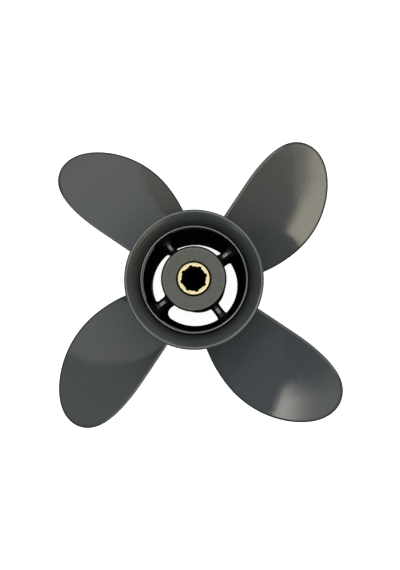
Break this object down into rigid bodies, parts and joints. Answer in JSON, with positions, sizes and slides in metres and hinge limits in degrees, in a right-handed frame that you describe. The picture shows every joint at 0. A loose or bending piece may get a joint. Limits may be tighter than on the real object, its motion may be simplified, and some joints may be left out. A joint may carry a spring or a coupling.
{
  "type": "outboard motor propeller",
  "caption": "Right-hand aluminium boat propeller with swept blades, a flared exhaust hub, a rubber bushing and a splined brass sleeve",
  "frame": {"origin": "on the shaft axis, at the level of the hub's front end, on which the propeller stands", "axes": "+Z runs along the shaft toward the aft, flared end; +X and +Y lie between the blades, which stand near 45 degrees"},
  "size_m": [0.1958, 0.1958, 0.0915],
  "materials": {
    "dark_grey_paint": "satin gloss",
    "black_rubber": "matte",
    "bare_brass": "machined"
  },
  "bodies": {
    "root": {"propeller_casting": "dark_grey_paint", "rubber_bushing": "black_rubber", "splined_sleeve": "bare_brass"}
  },
  "joints": []
}
